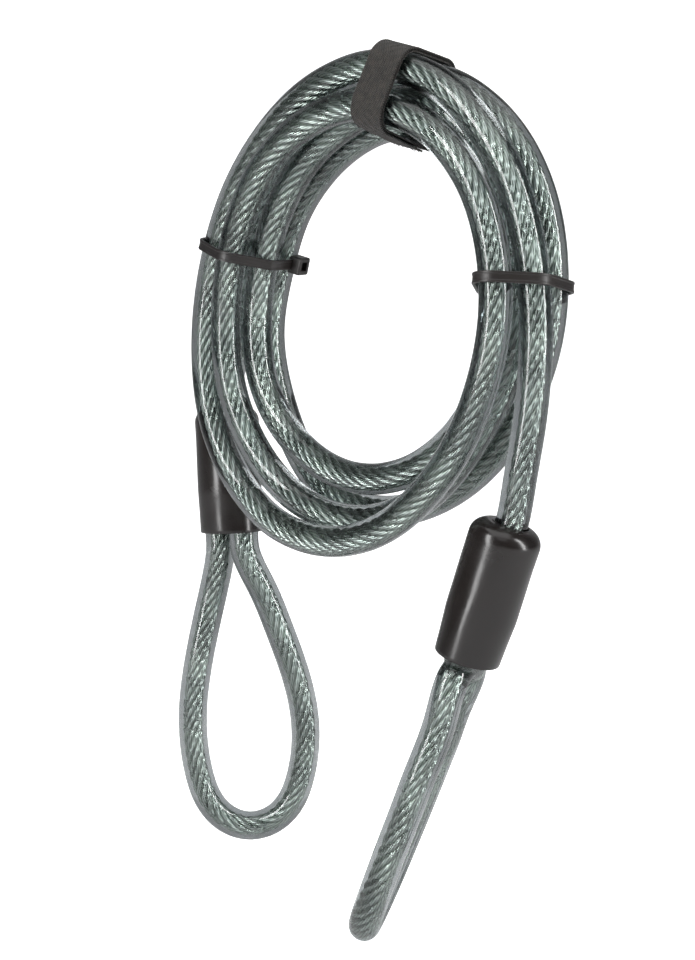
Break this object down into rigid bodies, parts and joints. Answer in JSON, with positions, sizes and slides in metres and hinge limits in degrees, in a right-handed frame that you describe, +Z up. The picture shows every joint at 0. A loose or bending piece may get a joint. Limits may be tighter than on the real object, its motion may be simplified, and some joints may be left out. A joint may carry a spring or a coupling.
{
  "type": "cable lock",
  "caption": "Coiled steel security cable in a clear jacket, with a crimped eye under a black sleeve at each end, held by cable ties and a hook-and-loop strap.",
  "frame": {"origin": "middle of the coil", "axes": "+Z up, the coil lies in the XZ plane with its front towards -Y, and both eyes hang below it"},
  "size_m": [0.1922, 0.0733, 0.3372],
  "materials": {
    "clear_jacket": "smoky clear PVC, glossy",
    "steel_rope": "bright galvanised wire",
    "black_vinyl": "glossy moulded vinyl",
    "ferrule_metal": "pressed, satin",
    "black_nylon": "satin nylon",
    "black_webbing": "woven hook-and-loop tape"
  },
  "bodies": {
    "coil": {"coil_jacket": "clear_jacket", "coil_outer_strands": "steel_rope", "coil_core_strand": "steel_rope", "left_tie_band": "black_nylon", "left_tie_head": "black_nylon", "right_tie_band": "black_nylon", "right_tie_head": "black_nylon", "strap_inner_turn": "black_webbing", "strap_hook_face": "black_webbing", "strap_outer_turn": "black_webbing"},
    "left_end": {"left_lead_jacket": "clear_jacket", "left_lead_outer_strands": "steel_rope", "left_lead_core_strand": "steel_rope", "left_sleeve": "black_vinyl", "left_ferrule": "ferrule_metal", "left_throat_jackets": "clear_jacket", "left_throat_wires": "steel_rope"},
    "left_eye": {"left_eye_jacket": "clear_jacket", "left_eye_outer_strands": "steel_rope", "left_eye_core_strand": "steel_rope"},
    "right_end": {"right_lead_jacket": "clear_jacket", "right_lead_outer_strands": "steel_rope", "right_lead_core_strand": "steel_rope", "right_sleeve": "black_vinyl", "right_ferrule": "ferrule_metal", "right_throat_jackets": "clear_jacket", "right_throat_wires": "steel_rope"},
    "right_eye": {"right_eye_jacket": "clear_jacket", "right_eye_outer_strands": "steel_rope", "right_eye_core_strand": "steel_rope"},
    "strap_flap": {"strap_tail": "black_webbing"},
    "left_latch": {"left_tie_pawl": "black_nylon"},
    "right_latch": {"right_tie_pawl": "black_nylon"}
  },
  "joints": [
    {"name": "left_lead_bend", "type": "hinge", "parent": "coil", "child": "left_end", "pos_m": [-0.07871, 0.0032, 0.00102], "axis": [0.7193, 0.6947, 0], "range_deg": [0, 30]},
    {"name": "left_eye_bend", "type": "hinge", "parent": "left_end", "child": "left_eye", "pos_m": [-0.08876, 0.00588, -0.10485], "axis": [0.9736, 0.208, 0.0941], "range_deg": [-25, 35]},
    {"name": "right_lead_bend", "type": "hinge", "parent": "coil", "child": "right_end", "pos_m": [0.07678, -0.00302, -0.00243], "axis": [-0.5291, -0.8485, 0], "range_deg": [0, 35]},
    {"name": "right_eye_bend", "type": "hinge", "parent": "right_end", "child": "right_eye", "pos_m": [0.05385, -0.01319, -0.12753], "axis": [0.292, -0.9545, 0.0595], "range_deg": [-30, 30]},
    {"name": "strap_tail_peel", "type": "hinge", "parent": "coil", "child": "strap_flap", "pos_m": [0.00945, -0.0111, 0.06299], "axis": [0.9781, 0, -0.2079], "range_deg": [-75, 0]},
    {"name": "left_tie_latch", "type": "hinge", "parent": "coil", "child": "left_latch", "pos_m": [-0.05624, 0.01439, 0.01101], "axis": [0.2158, 0.057, 0.9748], "range_deg": [0, 10]},
    {"name": "right_tie_latch", "type": "hinge", "parent": "coil", "child": "right_latch", "pos_m": [0.05991, 0.01649, 0.00715], "axis": [-0.1072, 0.1913, 0.9757], "range_deg": [0, 10]}
  ]
}
